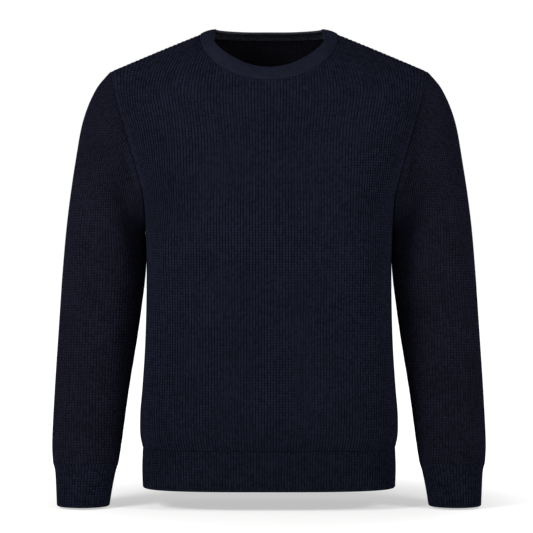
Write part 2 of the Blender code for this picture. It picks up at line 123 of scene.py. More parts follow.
# Matt paper that also glows with light of its own, weaker near its middle than far off, so that shadows on
# it stay pale: a painted glow, with no lamp under it
glowing_paper, tree = new_tree("matt_glowing_white_paper")
matt = add_node(tree, "ShaderNodeBsdfDiffuse", [("Color", colour(PAPER))])
spot = add_node(tree, "ShaderNodeTexCoord").outputs["Object"]
away = add_node(tree, "ShaderNodeVectorMath", [(0, spot)], operation="LENGTH").outputs["Value"]
strength = add_node(
    tree,
    "ShaderNodeMapRange",
    [("Value", away), (1, GLOW_START), (2, GLOW_END), (3, GLOW_NEAR), (4, GLOW_FAR)],
    interpolation_type="SMOOTHSTEP",
).outputs["Result"]
glow = add_node(tree, "ShaderNodeEmission", [("Color", colour(WALLS)), ("Strength", strength)])
both = add_node(tree, "ShaderNodeAddShader", [(0, matt.outputs["BSDF"]), (1, glow.outputs["Emission"])])
add_node(tree, "ShaderNodeOutputMaterial", [("Surface", both.outputs["Shader"])])
paper.data.materials.append(glowing_paper)

for place, size, watts in LAMPS:
    lamp_data = bpy.data.lights.new("softbox", "AREA")
    lamp_data.shape = "DISK"
    lamp_data.size = size
    lamp_data.energy = watts
    lamp = bpy.data.objects.new("softbox", lamp_data)
    lamp.location = place
    # Turned to the middle of the body
    facing = np.array(place) - np.array([0, 0, CAMERA_PLACE[2]])
    lamp.rotation_euler = (
        np.arctan2(np.hypot(facing[0], facing[1]), facing[2]),
        0,
        np.arctan2(facing[0], -facing[1]),
    )
    bpy.context.collection.objects.link(lamp)

# The walls look white, and send back a fifth of that as light
world = bpy.data.worlds.new("white_walls")
world.use_nodes = True
tree = world.node_tree
tree.nodes.clear()
seen = add_node(tree, "ShaderNodeLightPath").outputs["Is Camera Ray"]
strength = add_node(
    tree, "ShaderNodeMath", [(0, seen), (1, 1 - WALL_LIGHT), (2, WALL_LIGHT)], operation="MULTIPLY_ADD"
).outputs[0]
wall = add_node(tree, "ShaderNodeBackground", [("Color", colour(WALLS)), ("Strength", strength)])
add_node(tree, "ShaderNodeOutputWorld", [("Surface", wall.outputs["Background"])])
bpy.context.scene.world = world
bpy.context.scene.view_settings.view_transform = "Standard"


# ------------------------------------------------------------------------------------------------------
# Front and back. Each is one flat panel of a thick 1x1 rib in carded cotton, 120 ribs wide, fashioned at
# the armholes, shoulders and neck, and sewn to its neighbours by seams that sink a little into the knit.
CLOTH = 0.0025
SEAM_GAP = 0.0003
# One course of stitches, up the cloth
COURSE = 0.0039

# How small a step measures a slope, how near two corners are one, and where a turn stays a sharp edge
FINE_STEP = 1e-4
MERGE_DISTANCE = 1e-6
SHARP_ANGLE = 1.2
# How finely a line of cloth and a section of the body are measured
LINE_STEPS = 400
SECTION_STEPS = 1500

NECK_HALF_WIDTH = 0.104
NECK_HEIGHT = -0.0005
SHOULDER_SLOPE = 0.43
RIDGE_ROUNDING = 0.045
RIDGE_PLACE = 0.005
SHOULDER_POINT = 0.2375
FRONT_NECK_DROP = 0.0745
BACK_NECK_DROP = 0.001
HEM_SEAM = -0.6185
ARMPIT = -0.288
# How the chest and the upper back fall away to the shoulder ridge: the power low down, then near the ridge
FRONT_FALL = (2.0, 1.5)
BACK_FALL = (2.2, 2.6)

RIB_POINTS = 4
HALF_RIBS = 60
ARMHOLE_RIBS = 51
FRONT_NECK_SHARE = 30 / ARMHOLE_RIBS
BACK_NECK_SHARE = 23 / ARMHOLE_RIBS
# The armhole takes its ribs over this share of the height above the armpits, most of them at once
ARMHOLE_ROUNDING = 0.16
ARMHOLE_POWER = 0.5
CHEST_FLATTENING = 0.75
CHEST_ROUNDING = 0.6
LEAN_START = 0.70
LEAN_POWER = 1.3
TOP_SPREAD_POWER = 4
LOW_COURSES = 84
HIGH_COURSES = 74
# The panel's courses are even along a line at this share of its half width
EVEN_SHARE = 0.7
# Added rows beside each edge, in courses from it
EDGE_PLACES = np.array([0.12, 0.34, 0.64])
# The inner face is plain, so it has one row for each three of the outer face
INSIDE_STEP = 3

# How high the rib stands over the form, at its crest, its two flanks and in the groove between two ribs
RIB_HEIGHTS = np.array([0.00045, 0.00015, -0.00070, 0.00015])
# The cloth sinks this much into a sewn seam, and less where another piece is knitted on
SEAM_DIP = 0.0005
JOIN_DIP = 0.0002
SEAM_REACH = 0.0042
SEAM_POWER = 1.5
# The share of its height that a rib keeps where it ends in a sewn seam
EDGE_RELIEF = 0.35
# Under the shoulder seam the two edges are pressed this far past their gap, so no light comes through it
EDGE_PRESS = 0.00035
# A fold is full this near its middle and gone this far from it, as shares of its length
FOLD_FULL = 1 / 6
FOLD_GONE = 5 / 6
# Folds die away at a panel's edges, over this share of its half width and of its height to the armpits
FOLD_MARGIN = 0.22


def table(names, *rows):
    """A short table with named columns, a row for each section or fold."""
    return dict(zip(names.split(), np.array(rows, float).T))


TORSO = table(
    "height half_width front_depth back_depth squareness",
    (-0.6185, 0.1885, 0.0985, 0.0920, 3.2),
    (-0.6050, 0.1915, 0.1045, 0.0985, 3.1),
    (-0.5750, 0.1925, 0.1095, 0.1030, 3.0),
    (-0.5300, 0.1890, 0.1130, 0.1040, 3.0),
    (-0.4700, 0.1850, 0.1165, 0.1030, 3.0),
    (-0.4000, 0.1830, 0.1200, 0.1040, 3.0),
    (-0.3400, 0.1828, 0.1222, 0.1065, 3.0),
    (-0.2880, 0.1845, 0.1230, 0.1080, 3.0),
)

# Half the width between the armholes, and of the section that the chest and upper back follow
ARMHOLE = table(
    "height half_width spread",
    (-0.2880, 0.1845, 0.1845),
    (-0.2700, 0.1842, 0.1872),
    (-0.2510, 0.1855, 0.1912),
    (-0.1920, 0.2003, 0.2083),
    (-0.1210, 0.2215, 0.2335),
    (-0.0960, 0.2285, 0.2425),
    (-0.0557, 0.2375, 0.2570),
)

# Soft folds, seen from the front: face is -1 for the front and 1 for the back
TORSO_FOLDS = table(
    "face start_x start_z end_x end_z half_width height",
    (-1, -0.146, -0.300, -0.168, -0.456, 0.011, 0.0042),
    (-1, -0.168, -0.456, -0.178, -0.590, 0.010, 0.0036),
    (-1, 0.158, -0.400, 0.168, -0.570, 0.014, 0.0026),
    (-1, -0.170, -0.230, -0.110, -0.330, 0.018, -0.0030),
    (-1, 0.168, -0.235, 0.115, -0.320, 0.018, -0.0026),
    (-1, -0.100, -0.565, 0.060, -0.585, 0.018, 0.0014),
    (1, -0.165, -0.240, -0.080, -0.340, 0.022, -0.0022),
    (1, 0.160, -0.230, 0.085, -0.350, 0.022, -0.0020),
    (1, -0.120, -0.520, 0.100, -0.505, 0.024, 0.0022),
    (1, -0.090, -0.440, 0.120, -0.455, 0.026, -0.0020),
)


def read(rows, name, at):
    """The named column at a place in the first column, on a smooth curve through the rows."""
    places, values = next(iter(rows.values())), rows[name]
    slopes = np.gradient(values, places)
    at = np.clip(at, places[0], places[-1])
    i = np.clip(np.searchsorted(places, at, side="right") - 1, 0, len(places) - 2)
    span = places[i + 1] - places[i]
    t = (at - places[i]) / span
    start = (1 + 2 * t) * (1 - t) ** 2 * values[i] + t * (1 - t) ** 2 * span * slopes[i]
    end = t * t * (3 - 2 * t) * values[i + 1] + t * t * (t - 1) * span * slopes[i + 1]
    return start + end


def ease(t):
    """Goes from 0 to 1 as t does, level at both ends."""
    t = np.clip(t, 0, 1)
    return t * t * (3 - 2 * t)


def unit(vectors):
    """The vectors at a length of 1."""
    return vectors / np.maximum(np.linalg.norm(vectors, axis=-1, keepdims=True), 1e-12)


def running_sum(steps):
    """The sum so far at each point of a line, from the steps between them."""
    return np.concatenate([[0], np.cumsum(steps)])


def line_lengths(points):
    """Length along a line at each of its points."""
    return running_sum(np.linalg.norm(np.diff(points, axis=0), axis=1))


def section_width(half_width, depth, squareness, share):
    """The distance from the middle, at a share of the way round from the middle to the side."""
    angle = np.linspace(0, np.pi / 2, SECTION_STEPS)
    x = half_width * np.sin(angle) ** (2 / squareness)
    y = depth * np.cos(angle) ** (2 / squareness)
    length = running_sum(np.hypot(np.diff(x), np.diff(y)))
    at = np.interp(share * length[-1], length, angle)
    return half_width * np.sin(at) ** (2 / squareness)


def section_depth(x, half_width, squareness):
    """How far a section reaches forward at x, as a share of its depth in the middle."""
    return np.clip(1 - (x / half_width) ** squareness, 0, 1) ** (1 / squareness)


def round_section(rows, face, across, height):
    """Points of the torso below the armpits: across runs from -1 at one side seam to 1 at the other."""
    depth_name = "front_depth" if face < 0 else "back_depth"
    half_width, depth = read(rows, "half_width", height), read(rows, depth_name, height)
    squareness = read(rows, "squareness", height)
    x = section_width(half_width, depth, squareness, np.abs(across))
    y = RIDGE_PLACE + face * (SEAM_GAP / 2 + depth * section_depth(x, half_width, squareness))
    return np.stack([np.sign(across) * x, y, np.full_like(x, height)], axis=-1)


def ridge_height(x):
    """The shoulder ridge seen from the front. Inside the neckline it only shapes the cloth beside it."""
    run = np.hypot(x, RIDGE_ROUNDING) - np.hypot(NECK_HALF_WIDTH, RIDGE_ROUNDING)
    return NECK_HEIGHT - SHOULDER_SLOPE * run


def neck_share(face):
    """The share of a panel's top edge, from its middle, that is neckline."""
    return FRONT_NECK_SHARE if face < 0 else BACK_NECK_SHARE


def top_edge(face, share):
    """(x, z) of a panel's top edge: first the neckline, its ribs even along the curve, then the seam."""
    drop = FRONT_NECK_DROP if face < 0 else BACK_NECK_DROP
    neck = np.clip(share / neck_share(face), 0, 1)
    shoulder = np.clip((share - neck_share(face)) / (1 - neck_share(face)), 0, 1)
    turn = np.linspace(0, np.pi / 2, LINE_STEPS)
    length = running_sum(np.hypot(NECK_HALF_WIDTH * np.diff(np.sin(turn)), drop * np.diff(np.cos(turn))))
    turn = np.interp(neck * length[-1], length, turn)
    x = NECK_HALF_WIDTH * np.sin(turn) + (SHOULDER_POINT - NECK_HALF_WIDTH) * shoulder
    z = np.where(neck < 1, NECK_HEIGHT - drop * np.cos(turn), ridge_height(x))
    return x, z


def chest(face, x, z, on_ridge):
    """How far back the chest or the upper back lies, at a place seen from the front."""
    depth = read(TORSO, "front_depth" if face < 0 else "back_depth", ARMPIT)
    low_down, near_ridge = FRONT_FALL if face < 0 else BACK_FALL
    climb = np.clip((z - ARMPIT) / (ridge_height(x) - ARMPIT), 0, 1)
    climb = np.where(on_ridge, 1.0, climb)
    fall = (1 - climb**low_down) ** (1 / near_ridge)
    forward = section_depth(x, read(ARMHOLE, "spread", z), read(TORSO, "squareness", ARMPIT))
    return RIDGE_PLACE + face * (SEAM_GAP / 2 + depth * forward * fall)


def ribs_kept(up):
    """The share of a panel's ribs that the armhole has left at this level."""
    return 1 - (1 - ARMHOLE_RIBS / HALF_RIBS) * ease(up / ARMHOLE_ROUNDING) ** ARMHOLE_POWER


def yoke_row(face, across, up):
    """Points of a panel above the armpits: up runs from 0 at the armpits to 1 at the top edge."""
    share = np.abs(across)
    depth = read(TORSO, "front_depth" if face < 0 else "back_depth", ARMPIT)
    section = read(TORSO, "half_width", ARMPIT), depth, read(TORSO, "squareness", ARMPIT)
    kept = ribs_kept(up)
    round_share = section_width(*section, share * kept) / section_width(*section, kept)
    top_x, top_z = top_edge(face, share)
    z = ARMPIT + (top_z - ARMPIT) * up
    edge = read(ARMHOLE, "half_width", z)
    # The chest flattens on its way up, and near the top the ribs lean in towards the neck
    x = edge * (round_share + (share - round_share) * CHEST_FLATTENING * ease(up / CHEST_ROUNDING))
    top_x = top_x * (1 + (edge / SHOULDER_POINT - 1) * share**TOP_SPREAD_POWER)
    x = x + (top_x - x) * np.clip((up - LEAN_START) / (1 - LEAN_START), 0, 1) ** LEAN_POWER
    y = chest(face, x, z, (up >= 1) & (share >= neck_share(face)))
    return np.stack([np.sign(across) * x, y, z], axis=-1)


def panel_row(face, across, row):
    """Points of a panel: row runs from 0 at the hem seam to 1 at the armpits and 2 at the top edge."""
    if row <= 1:
        return round_section(TORSO, face, across, HEM_SEAM + (ARMPIT - HEM_SEAM) * row)
    return yoke_row(face, across, row - 1)


def panel_normals(face, across, row):
    """Unit normals of a row. At the armpits they are measured from below alone."""
    right, left = np.minimum(across + FINE_STEP, 1), np.maximum(across - FINE_STEP, -1)
    at_armpits = 1 - FINE_STEP < row <= 1
    low, high = max(row - FINE_STEP, 0), row if at_armpits else min(row + FINE_STEP, 2)
    run = panel_row(face, right, row) - panel_row(face, left, row)
    rise = panel_row(face, across, high) - panel_row(face, across, low)
    return unit(-face * np.cross(run, rise))


def fold_height(rows, chosen, x, z):
    """The sum of the chosen soft folds, at places seen from the front."""
    height = np.zeros_like(x)
    for i in np.flatnonzero(chosen):
        start = np.array([rows["start_x"][i], rows["start_z"][i]])
        way = np.array([rows["end_x"][i], rows["end_z"][i]]) - start
        along = ((x - start[0]) * way[0] + (z - start[1]) * way[1]) / (way @ way)
        aside = ((x - start[0]) * way[1] - (z - start[1]) * way[0]) / np.hypot(*way)
        fade = ease((FOLD_GONE - np.abs(along - 0.5)) / (FOLD_GONE - FOLD_FULL))
        height += rows["height"][i] * np.exp(-((aside / rows["half_width"][i]) ** 2)) * fade
    return height


def sunk(distance, depth):
    """How far the cloth sinks towards a seam this far away."""
    return -depth * (1 - ease(distance / SEAM_REACH)) ** SEAM_POWER


def column_lengths(points):
    """Length along each column of points, from the first row."""
    steps = np.linalg.norm(np.diff(points, axis=0), axis=-1)
    return np.concatenate([np.zeros((1, points.shape[1])), np.cumsum(steps, axis=0)])


def sewn_cloth(points, normals, ribs, height, rib_share):
    """Outer and inner points of cloth joined on below and sewn above and aside, and its knit map."""
    up = column_lengths(points)
    down = up[-1] - up
    to_side = np.linalg.norm(points - points[:, [0 if k < 0 else -1 for k in ribs]], axis=-1)
    relief = rib_share * np.tile(RIB_HEIGHTS, len(ribs))[: len(ribs)] * ease(to_side / SEAM_REACH)
    relief = relief * (EDGE_RELIEF + (1 - EDGE_RELIEF) * ease(down / SEAM_REACH))
    relief = relief + height + sunk(to_side, SEAM_DIP) + sunk(down, SEAM_DIP) + sunk(up, JOIN_DIP)
    outer = points + normals * relief[..., None]
    inner = points + normals * (height - CLOTH)[..., None]
    knit = np.stack([np.broadcast_to(ribs, up.shape), up / COURSE], axis=-1)
    return outer, inner, knit


def strip(outer, inner):
    """Faces between two rows of corners, with a whole number of outer steps to an inner one."""
    step = (len(outer) - 1) // (len(inner) - 1)
    faces = []
    for i in range(len(inner) - 1):
        near, far = inner[i], inner[i + 1]
        edge = outer[i * step : (i + 1) * step + 1]
        turn = (step + 1) // 2
        faces += [(edge[k], edge[k + 1], near) for k in range(turn)]
        faces += [(edge[k], edge[k + 1], far) for k in range(turn, step)]
        faces.append((edge[turn], far, near))
    return faces


def grid_faces(ids):
    """Four-cornered faces between neighbours in a grid of corners."""
    quads = np.stack([ids[:-1, :-1], ids[:-1, 1:], ids[1:, 1:], ids[1:, :-1]], axis=-1)
    return quads.reshape(-1, 4).tolist()


def cloth_piece(name, points, knit, faces, inside, materials):
    """A smooth closed piece with its knit map. The second material is on the faces marked as inside."""
    mesh = bpy.data.meshes.new(name)
    mesh.from_pydata(points.tolist(), [], faces)
    mesh.polygons.foreach_set("material_index", np.array(inside, np.int32))
    corners = np.empty(len(mesh.loops), np.int32)
    mesh.loops.foreach_get("vertex_index", corners)
    mesh.uv_layers.new(name="knit").data.foreach_set("uv", knit[corners].astype(np.float32).ravel())
    shape = bmesh.new()
    shape.from_mesh(mesh)
    bmesh.ops.remove_doubles(shape, verts=shape.verts, dist=MERGE_DISTANCE)
    bmesh.ops.recalc_face_normals(shape, faces=shape.faces)
    shape.to_mesh(mesh)
    shape.free()
    mesh.shade_smooth()
    for material in materials:
        mesh.materials.append(material)
    made = bpy.data.objects.new(name, mesh)
    bpy.context.collection.objects.link(made)
    return made


def knit_wall(name, outer, inner, knit, inside_step, open_sides, material):
    """A closed cloth wall between two grids of points. Its inner face keeps one row in inside_step."""
    rows = np.unique(np.append(np.arange(0, len(outer), inside_step), len(outer) - 1))
    inside, inside_knit = inner[rows][:, ::RIB_POINTS], knit[rows][:, ::RIB_POINTS]
    out = np.arange(outer.shape[0] * outer.shape[1]).reshape(outer.shape[:2])
    ins = out.size + np.arange(inside.shape[0] * inside.shape[1]).reshape(inside.shape[:2])
    points = np.concatenate([outer.reshape(-1, 3), inside.reshape(-1, 3)])
    places = np.concatenate([knit.reshape(-1, 2), inside_knit.reshape(-1, 2)])
    faces = grid_faces(out) + grid_faces(ins)
    faces += strip(out[0], ins[0]) + strip(out[-1], ins[-1])
    if open_sides:
        for side in (0, -1):
            for k in range(len(rows) - 1):
                faces += strip(out[rows[k] : rows[k + 1] + 1, side], ins[k : k + 2, side])
    is_inside = [min(face) >= out.size for face in faces]
    # The inner faces take the purl side's material, darkened with painted shade
    made = cloth_piece(name, points, places, faces, is_inside, (material, PURL_SIDE_PAINTED_SHADE))
    made.data.set_sharp_from_angle(angle=SHARP_ANGLE)
    return made


# On the knit map one stitch is 1 wide and 1 tall. Its two legs lean away from the rib's middle, as a V.
LEG_LEAN = 1.1
LEG_PLACE, LEG_HALF_WIDTH = 0.19, 0.29
STITCH_LEAST, STITCH_SWELL = 0.15, 0.9
# No two stitches are pulled quite alike, so some stand up and catch more light than others, through their
# bump and through painted light in their colour
PULL_LEAST, PULL_SPREAD = 0.48, 0.95
# Fibres about a millimetre long, and a slow change of shade from one hand's breadth to the next
FIBRE_SCALE, FIBRE_SHADE = 900.0, 0.7
PATCH_SCALE, PATCH_SHADE = 16.0, 0.44
LEAST_SHADE = 0.43
LOOSE_FIBRES = 0.35
# Lint: a few pale specks about a millimetre across
LINT = "#363947"
LINT_SCALE, LINT_SIZE = 32.0, 0.020
# The fuzz sends back a bluer light than the yarn does
FUZZ = "#6C78B8"


def rib_knit(name, crest, groove, fuzz, stitch_depth):
    """Spun cotton in a knit: matt, fuzzy enough to catch light at its edge, with painted shade that darkens
    it between stitches.
    """
    material, tree = new_tree(name)
    knit = add_node(tree, "ShaderNodeUVMap", uv_map="knit").outputs["UV"]
    places = add_node(tree, "ShaderNodeSeparateXYZ", [("Vector", knit)])
    across, up = places.outputs["X"], places.outputs["Y"]
    aside = add_node(tree, "ShaderNodeMath", [(0, across), (1, 0.5)], operation="PINGPONG").outputs[0]
    lean = add_node(
        tree, "ShaderNodeMath", [(0, aside), (1, -LEG_LEAN), (2, up)], operation="MULTIPLY_ADD"
    ).outputs[0]
    wave = add_node(tree, "ShaderNodeMath", [(0, lean), (1, 0.5)], operation="PINGPONG").outputs[0]
    swell = add_node(tree, "ShaderNodeMath", [(0, wave), (1, np.pi)], operation="MULTIPLY").outputs[0]
    strand = add_node(tree, "ShaderNodeMath", [(0, swell)], operation="SINE").outputs[0]
    off_leg = add_node(
        tree,
        "ShaderNodeMath",
        [(0, aside), (1, 1 / LEG_HALF_WIDTH), (2, -LEG_PLACE / LEG_HALF_WIDTH)],
        operation="MULTIPLY_ADD",
    ).outputs[0]
    off_leg = add_node(
        tree, "ShaderNodeMath", [(0, off_leg), (1, off_leg)], operation="MULTIPLY"
    ).outputs[0]
    leg = add_node(
        tree, "ShaderNodeMath", [(0, 1.0), (1, off_leg)], operation="SUBTRACT", use_clamp=True
    ).outputs[0]
    share = add_node(
        tree,
        "ShaderNodeMath",
        [(0, strand), (1, STITCH_SWELL), (2, STITCH_LEAST)],
        operation="MULTIPLY_ADD",
    ).outputs[0]
    rib = add_node(tree, "ShaderNodeMath", [(0, across)], operation="ROUND").outputs[0]
    course = add_node(tree, "ShaderNodeMath", [(0, up)], operation="FLOOR").outputs[0]
    stitch = add_node(tree, "ShaderNodeCombineXYZ", [("X", rib), ("Y", course)]).outputs["Vector"]
    pull = add_node(
        tree, "ShaderNodeTexWhiteNoise", [("Vector", stitch)], noise_dimensions="2D"
    ).outputs["Value"]
    pull = add_node(
        tree, "ShaderNodeMath", [(0, pull), (1, PULL_SPREAD), (2, PULL_LEAST)], operation="MULTIPLY_ADD"
    ).outputs[0]
    share = add_node(tree, "ShaderNodeMath", [(0, share), (1, pull)], operation="MULTIPLY").outputs[0]
    height = add_node(tree, "ShaderNodeMath", [(0, leg), (1, share)], operation="MULTIPLY").outputs[0]

    place = add_node(tree, "ShaderNodeTexCoord").outputs["Object"]
    fibres = add_node(
        tree, "ShaderNodeTexNoise", [("Vector", place), ("Scale", FIBRE_SCALE), ("Detail", 3.0)]
    ).outputs["Fac"]
    patches = add_node(
        tree, "ShaderNodeTexNoise", [("Vector", place), ("Scale", PATCH_SCALE), ("Detail", 4.0)]
    ).outputs["Fac"]
    value = add_node(
        tree, "ShaderNodeMath", [(0, fibres), (1, FIBRE_SHADE), (2, LEAST_SHADE)], operation="MULTIPLY_ADD"
    ).outputs[0]
    value = add_node(
        tree, "ShaderNodeMath", [(0, patches), (1, PATCH_SHADE), (2, value)], operation="MULTIPLY_ADD"
    ).outputs[0]
    # Colour goes from the groove colour where a stitch lies low to the crest colour where it stands up:
    # painted shade between stitches and ribs, lightest on the stitches that stand up most
    yarn = add_node(
        tree,
        "ShaderNodeMix",
        [("Factor", height), (6, colour(groove)), (7, colour(crest))],
        data_type="RGBA",
    ).outputs[2]
    heather = add_node(tree, "ShaderNodeHueSaturation", [("Color", yarn), ("Value", value)])
    specks = add_node(tree, "ShaderNodeTexVoronoi", [("Vector", place), ("Scale", LINT_SCALE)])
    near = add_node(
        tree, "ShaderNodeMath", [(0, specks.outputs["Distance"]), (1, LINT_SIZE)], operation="LESS_THAN"
    ).outputs[0]
    flecked = add_node(
        tree,
        "ShaderNodeMix",
        [("Factor", near), (6, heather.outputs["Color"]), (7, colour(LINT))],
        data_type="RGBA",
    ).outputs[2]

    loose = add_node(
        tree, "ShaderNodeMath", [(0, fibres), (1, LOOSE_FIBRES), (2, height)], operation="MULTIPLY_ADD"
    ).outputs[0]
    bump = add_node(
        tree, "ShaderNodeBump", [("Strength", 1.0), ("Distance", stitch_depth), ("Height", loose)]
    ).outputs["Normal"]
    # Cotton fibres scatter light every way, so the yarn has no gloss of its own
    shader = add_node(
        tree,
        "ShaderNodeBsdfPrincipled",
        [
            ("Base Color", flecked),
            ("Roughness", 0.92),
            ("Specular IOR Level", 0.0),
            ("Sheen Weight", fuzz),
            ("Sheen Roughness", 0.4),
            ("Sheen Tint", colour(FUZZ)),
            ("Normal", bump),
        ],
    )
    add_node(tree, "ShaderNodeOutputMaterial", [("Surface", shader.outputs["BSDF"])])
    return material


def panel(face):
    """Outer and inner points of the front (-1) or the back (1), and their places in the knit."""
    ribs = np.arange(-HALF_RIBS * RIB_POINTS, HALF_RIBS * RIB_POINTS + 1) / RIB_POINTS
    heights = np.linspace(0, 1, LINE_STEPS)
    length = line_lengths(np.array([yoke_row(face, np.array([EVEN_SHARE]), up)[0] for up in heights]))
    high = 1 + np.interp(np.linspace(0, length[-1], HIGH_COURSES + 1), length, heights)
    low = np.linspace(0, 1, LOW_COURSES + 1)
    rows = np.concatenate([low[:-1], high, low[1] * EDGE_PLACES, 2 - (2 - high[-2]) * EDGE_PLACES])
    rows = np.sort(rows)
    points, normals, shares = [], [], []
    for row in rows:
        share = np.clip(ribs / HALF_RIBS / ribs_kept(max(row - 1, 0)), -1, 1)
        points.append(panel_row(face, share, row))
        normals.append(panel_normals(face, share, row))
        shares.append(share)
    points, normals, shares = np.array(points), np.array(normals), np.array(shares)
    height = fold_height(TORSO_FOLDS, TORSO_FOLDS["face"] == face, points[..., 0], points[..., 2])
    height *= ease((1 - np.abs(shares)) / FOLD_MARGIN)
    height *= (ease(rows / FOLD_MARGIN) * ease((2 - rows) / FOLD_MARGIN))[:, None]
    # Along the shoulder seam both panels stand square to the ridge
    on_ridge = np.abs(shares[-1]) >= neck_share(face) - FINE_STEP
    x = points[-1, on_ridge, 0]
    slope = SHOULDER_SLOPE * x / np.hypot(x, RIDGE_ROUNDING)
    normals[-1, on_ridge] = unit(np.stack([slope, 0 * x, 1 + 0 * x], axis=1))
    outer, inner, knit = sewn_cloth(points, normals, ribs, height, 1.0)
    inner[-1, on_ridge, 1] -= face * EDGE_PRESS
    return outer, inner, knit


# Each knit's second colour is the painted shade between its stitches and ribs
# The knit side of the body, whose stitches stand up most
NAVY_RIB = rib_knit("carded_cotton_rib", "#1E202F", "#07080C", 0.008, 0.0010)
# The purl side, inside the hollow body, coloured almost black: painted shade for the dark inside of the
# garment
PURL_SIDE_PAINTED_SHADE = rib_knit("carded_cotton_purl_side_painted_shade", "#1B1920", "#0B0A0E", 0.004, 0.0009)

for name, face, flat in (("front", -1, (0.545, 0.655)), ("back", 1, (0.525, 0.675))):
    outer, inner, knit = panel(face)
    piece = knit_wall(f"{name}_panel", outer, inner, knit, INSIDE_STEP, True, NAVY_RIB)
    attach(piece, "root")
    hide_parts(name)


# ------------------------------------------------------------------------------------------------------
# Sleeves. Each is set into its armhole: 94 ribs round the upper arm, narrowed at the underarm seam down to
# the cuff, with the cloth bunched in soft folds at the elbow and hanging a little forward at the wrist.
SLEEVE_GAP = 0.0004
SLEEVE_HALF_RIBS = 47
SLEEVE_COURSES = 158
RING_STEPS = 721
# The sleeve leaves the armhole's shape behind over this many rings
ARMHOLE_REACH = 3.2
# The sleeve's courses are even along the line at this turn from its outer one
EVEN_TURN = 0.6
# Folds die away over this many rings at each end of a sleeve
FOLD_FADE = 0.7
# They are full where the cloth turns less than 60 degrees from front or back, and gone at the side
FOLD_FACING = 2
# The knit is spread wider over the arm than on the body, so its ribs lie flatter. They end evenly along the
# armhole, and above 1 they end the higher on it.
SLEEVE_RELIEF = 0.7
RIB_CLIMB = 1.25

# Rings from the armhole, 0, down to the cuff's seam, 9, each from its outer line to its underarm one
SLEEVE = table(
    "ring outer_x outer_z under_x under_z middle depth ribs",
    (0.0, 0.2375, -0.0565, 0.1858, -0.2875, 0.005, 0.0575, 47.0),
    (1.0, 0.2605, -0.0850, 0.1864, -0.2930, 0.006, 0.0590, 47.0),
    (2.0, 0.2792, -0.1300, 0.1865, -0.2990, 0.008, 0.0600, 47.0),
    (3.0, 0.2915, -0.1960, 0.1856, -0.3070, 0.009, 0.0605, 46.0),
    (4.0, 0.3035, -0.2800, 0.1847, -0.3240, 0.010, 0.0605, 43.5),
    (5.0, 0.3105, -0.3600, 0.1863, -0.3640, 0.010, 0.0590, 41.5),
    (6.0, 0.3160, -0.4440, 0.1965, -0.4440, 0.008, 0.0560, 39.5),
    (7.0, 0.3210, -0.5340, 0.2105, -0.5340, -0.001, 0.0520, 36.5),
    (8.0, 0.3235, -0.6080, 0.2198, -0.6080, -0.013, 0.0480, 33.8),
    (9.0, 0.3220, -0.6400, 0.2243, -0.6400, -0.018, 0.0440, 32.0),
)

# Side is 1 for the wearer's left. Every x is the distance from the middle of the body.
SLEEVE_FOLDS = table(
    "side face start_x start_z end_x end_z half_width height",
    (-1, -1, 0.285, -0.215, 0.286, -0.350, 0.012, 0.0050),
    (-1, -1, 0.302, -0.200, 0.304, -0.330, 0.012, -0.0022),
    (-1, -1, 0.230, -0.175, 0.194, -0.335, 0.014, -0.0042),
    (-1, -1, 0.208, -0.170, 0.199, -0.235, 0.012, -0.0055),
    (-1, -1, 0.274, -0.350, 0.236, -0.428, 0.012, -0.0055),
    (-1, -1, 0.262, -0.392, 0.222, -0.470, 0.014, 0.0034),
    (-1, -1, 0.300, -0.500, 0.262, -0.560, 0.016, -0.0030),
    (1, -1, 0.230, -0.180, 0.198, -0.330, 0.014, -0.0042),
    (1, -1, 0.208, -0.170, 0.199, -0.235, 0.012, -0.0055),
    (1, -1, 0.282, -0.225, 0.276, -0.330, 0.014, 0.0030),
    (1, -1, 0.262, -0.350, 0.212, -0.410, 0.014, -0.0045),
    (1, -1, 0.290, -0.420, 0.240, -0.490, 0.016, 0.0030),
    (1, -1, 0.296, -0.540, 0.250, -0.590, 0.016, -0.0026),
    (-1, 1, 0.240, -0.180, 0.205, -0.310, 0.016, -0.0040),
    (-1, 1, 0.285, -0.330, 0.225, -0.390, 0.018, -0.0035),
    (-1, 1, 0.290, -0.410, 0.225, -0.450, 0.018, 0.0025),
    (1, 1, 0.238, -0.185, 0.206, -0.320, 0.016, -0.0040),
    (1, 1, 0.290, -0.350, 0.220, -0.400, 0.018, -0.0035),
    (1, 1, 0.288, -0.440, 0.230, -0.480, 0.018, 0.0022),
)


def ring_line(rows, at):
    """(x, z) of a ring's middle, and from there to its outer line."""
    outer = np.array([read(rows, "outer_x", at), read(rows, "outer_z", at)])
    under = np.array([read(rows, "under_x", at), read(rows, "under_z", at)])
    return (outer + under) / 2, (outer - under) / 2


def even_angles(rows, at, turns):
    """The turns round a ring, moved so that equal turns are equal lengths of cloth."""
    angle = np.linspace(0, np.pi, RING_STEPS)
    width, depth = np.hypot(*ring_line(rows, at)[1]), read(rows, "depth", at)
    length = running_sum(np.hypot(width * np.diff(np.cos(angle)), depth * np.diff(np.sin(angle))))
    return np.sign(turns) * np.interp(np.abs(turns) / np.pi * length[-1], length, angle)


def ring(rows, side, at, angles):
    """Points of one ring of a sleeve or cuff. The angle is 0 on its outer line and grows forward."""
    middle, half = ring_line(rows, at)
    x = middle[0] + half[0] * np.cos(angles)
    z = middle[1] + half[1] * np.cos(angles)
    y = read(rows, "middle", at) - read(rows, "depth", at) * np.sin(angles)
    return np.stack([side * x, y, z], axis=-1)


def armhole_line(side, turns):
    """The armhole's edge down from the shoulder point, at the front or, at a minus turn, the back."""
    up = (1 + np.cos(turns)) / 2
    z = ARMPIT + (ridge_height(SHOULDER_POINT) - ARMPIT) * up
    x = read(ARMHOLE, "half_width", z)
    ahead, behind = (chest(face, x, z, up >= 1) for face in (-1, 1))
    y = np.where(turns >= 0, ahead, behind)
    y = np.where((up >= 1) | (up <= 0), (ahead + behind) / 2, y)
    return np.stack([side * (x + SLEEVE_GAP), y, z], axis=-1)


